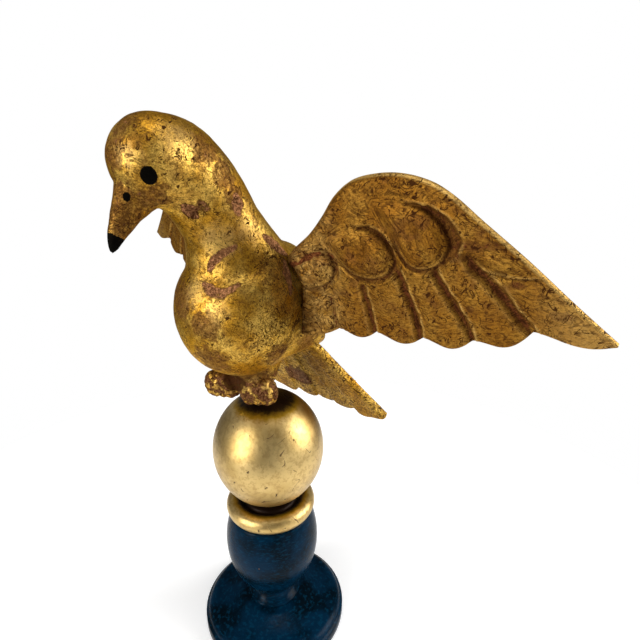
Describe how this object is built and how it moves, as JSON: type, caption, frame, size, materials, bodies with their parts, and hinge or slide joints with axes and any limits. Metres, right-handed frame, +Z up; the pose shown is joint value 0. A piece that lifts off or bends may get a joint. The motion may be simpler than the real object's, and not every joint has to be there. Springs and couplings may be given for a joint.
{
  "type": "carved wooden bird finial",
  "caption": "Carved and gilded wooden dove with open wings, perched on a gilded ball and collar over a blue turned baluster and a low round base.",
  "frame": {"origin": "centre of the base's underside", "axes": "+Z up along the stem's axis, -Y the way the dove faces, +X towards its left wing"},
  "size_m": [0.2942, 0.1212, 0.2847],
  "materials": {
    "aged_gilding": "worn leaf gilding over red-brown bole on carved wood",
    "wing_gilding": "duller worn gilding with brush marks on carved wood",
    "bright_leaf": "smooth satin leaf gilding on turned wood",
    "blue_paint": "dark blue satin paint on turned wood"
  },
  "bodies": {
    "root": {"dove": "aged_gilding", "left_wing": "wing_gilding", "right_wing": "wing_gilding", "gilded_ball_and_collar": "bright_leaf", "blue_baluster": "blue_paint", "round_base": "blue_paint"}
  },
  "joints": []
}
